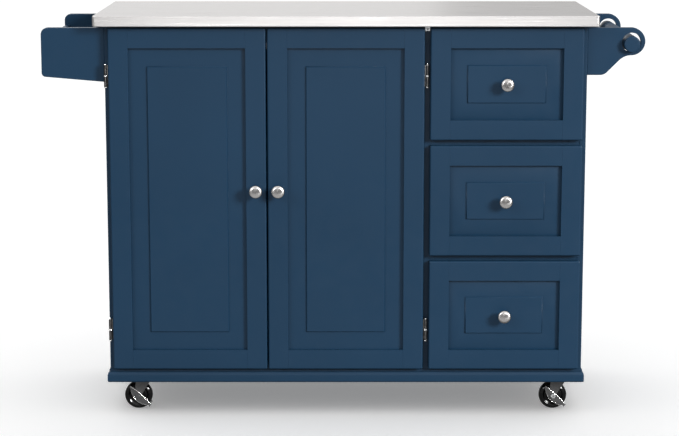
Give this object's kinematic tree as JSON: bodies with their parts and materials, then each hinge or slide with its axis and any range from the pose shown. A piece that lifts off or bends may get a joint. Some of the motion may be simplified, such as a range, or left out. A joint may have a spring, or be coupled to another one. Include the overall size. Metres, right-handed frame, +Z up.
{
  "type": "kitchen island cart",
  "caption": "Kitchen cart on casters: painted cupboard with paneled doors, drawers, steel worktop, side spice rack and towel bar.",
  "frame": {"origin": "centre of the overall box at floor level", "axes": "+X along the cart towards the towel bar, +Y from the doors to the back, +Z up"},
  "size_m": [1.3452, 0.477, 0.914],
  "materials": {
    "painted_wood": "satin navy paint",
    "stainless": "brushed",
    "board": "bare board",
    "nickel": "brushed nickel",
    "zinc": "zinc plated",
    "catch_plastic": "moulded",
    "caster_steel": "satin black",
    "wheel_plastic": "glossy black"
  },
  "bodies": {
    "cabinet": {"worktop_skin": "stainless", "worktop_core": "board", "worktop_clip": "zinc", "side_left": "painted_wood", "side_right": "painted_wood", "back_panel": "painted_wood", "divider": "painted_wood", "bottom_panel": "painted_wood", "stretchers": "board", "face_stiles": "painted_wood", "face_rails": "painted_wood", "base_moulding": "painted_wood", "caster_blocks": "board", "shelf": "painted_wood", "shelf_pegs": "zinc", "slide_cleats": "board", "slide_channels": "zinc", "magnetic_catch": "catch_plastic", "hinge_frame_leaves": "nickel", "rack_end_front": "painted_wood", "rack_end_back": "painted_wood", "rack_board": "painted_wood", "rack_bottom": "painted_wood", "towel_bracket_front": "painted_wood", "towel_bracket_back": "painted_wood", "side_screws": "zinc", "caster_plates": "zinc"},
    "towel_bar": {"towel_bar": "painted_wood"},
    "door_left": {"door_left_frame": "painted_wood", "door_left_panel": "painted_wood", "door_left_knob": "nickel", "door_left_hinge_leaves": "nickel", "door_left_strike": "zinc"},
    "door_right": {"door_right_frame": "painted_wood", "door_right_panel": "painted_wood", "door_right_knob": "nickel", "door_right_hinge_leaves": "nickel", "door_right_strike": "zinc"},
    "drawer_1": {"drawer_1_front": "painted_wood", "drawer_1_knob": "nickel", "drawer_1_box": "board", "drawer_1_runners": "zinc"},
    "drawer_2": {"drawer_2_front": "painted_wood", "drawer_2_knob": "nickel", "drawer_2_box": "board", "drawer_2_runners": "zinc"},
    "drawer_3": {"drawer_3_front": "painted_wood", "drawer_3_knob": "nickel", "drawer_3_box": "board", "drawer_3_runners": "zinc"},
    "caster_fl_fork": {"caster_fl_fork": "caster_steel"},
    "caster_fl_wheel": {"caster_fl_wheel": "wheel_plastic"},
    "caster_fr_fork": {"caster_fr_fork": "caster_steel"},
    "caster_fr_wheel": {"caster_fr_wheel": "wheel_plastic"},
    "caster_rl_fork": {"caster_rl_fork": "caster_steel"},
    "caster_rl_wheel": {"caster_rl_wheel": "wheel_plastic"},
    "caster_rr_fork": {"caster_rr_fork": "caster_steel"},
    "caster_rr_wheel": {"caster_rr_wheel": "wheel_plastic"},
    "brake_left": {"brake_left": "caster_steel"},
    "brake_right": {"brake_right": "caster_steel"}
  },
  "joints": [
    {"name": "door_left_hinge", "type": "hinge", "parent": "cabinet", "child": "door_left", "pos_m": [-0.52845, -0.207, 0.49], "axis": [0, 0, -1], "range_deg": [0, 110]},
    {"name": "door_right_hinge", "type": "hinge", "parent": "cabinet", "child": "door_right", "pos_m": [0.18725, -0.207, 0.49], "axis": [0, 0, 1], "range_deg": [0, 90]},
    {"name": "drawer_1_slide", "type": "slide", "parent": "cabinet", "child": "drawer_1", "axis": [0, -1, 0], "range_m": [0, 0.28]},
    {"name": "drawer_2_slide", "type": "slide", "parent": "cabinet", "child": "drawer_2", "axis": [0, -1, 0], "range_m": [0, 0.28]},
    {"name": "drawer_3_slide", "type": "slide", "parent": "cabinet", "child": "drawer_3", "axis": [0, -1, 0], "range_m": [0, 0.28]},
    {"name": "towel_bar_slide", "type": "slide", "parent": "cabinet", "child": "towel_bar", "axis": [0, -1, 0], "range_m": [0, 0.43]},
    {"name": "caster_fl_swivel", "type": "hinge", "parent": "cabinet", "child": "caster_fl_fork", "pos_m": [-0.45995, -0.1405, 0.06], "axis": [0, 0, 1], "continuous": true},
    {"name": "caster_fl_roll", "type": "hinge", "parent": "caster_fl_fork", "child": "caster_fl_wheel", "pos_m": [-0.47295, -0.1405, 0.032], "axis": [0, 1, 0], "continuous": true},
    {"name": "caster_fr_swivel", "type": "hinge", "parent": "cabinet", "child": "caster_fr_fork", "pos_m": [0.49865, -0.1405, 0.06], "axis": [0, 0, 1], "continuous": true},
    {"name": "caster_fr_roll", "type": "hinge", "parent": "caster_fr_fork", "child": "caster_fr_wheel", "pos_m": [0.48565, -0.1405, 0.032], "axis": [0, 1, 0], "continuous": true},
    {"name": "caster_rl_swivel", "type": "hinge", "parent": "cabinet", "child": "caster_rl_fork", "pos_m": [-0.45995, 0.1755, 0.06], "axis": [0, 0, 1], "continuous": true},
    {"name": "caster_rl_roll", "type": "hinge", "parent": "caster_rl_fork", "child": "caster_rl_wheel", "pos_m": [-0.47295, 0.1755, 0.032], "axis": [0, 1, 0], "continuous": true},
    {"name": "caster_rr_swivel", "type": "hinge", "parent": "cabinet", "child": "caster_rr_fork", "pos_m": [0.49865, 0.1755, 0.06], "axis": [0, 0, 1], "continuous": true},
    {"name": "caster_rr_roll", "type": "hinge", "parent": "caster_rr_fork", "child": "caster_rr_wheel", "pos_m": [0.48565, 0.1755, 0.032], "axis": [0, 1, 0], "continuous": true},
    {"name": "brake_left_lever", "type": "hinge", "parent": "caster_fl_fork", "child": "brake_left", "pos_m": [-0.47295, -0.1405, 0.032], "axis": [0, -1, 0], "range_deg": [0, 25]},
    {"name": "brake_right_lever", "type": "hinge", "parent": "caster_fr_fork", "child": "brake_right", "pos_m": [0.48565, -0.1405, 0.032], "axis": [0, -1, 0], "range_deg": [0, 25]}
  ]
}
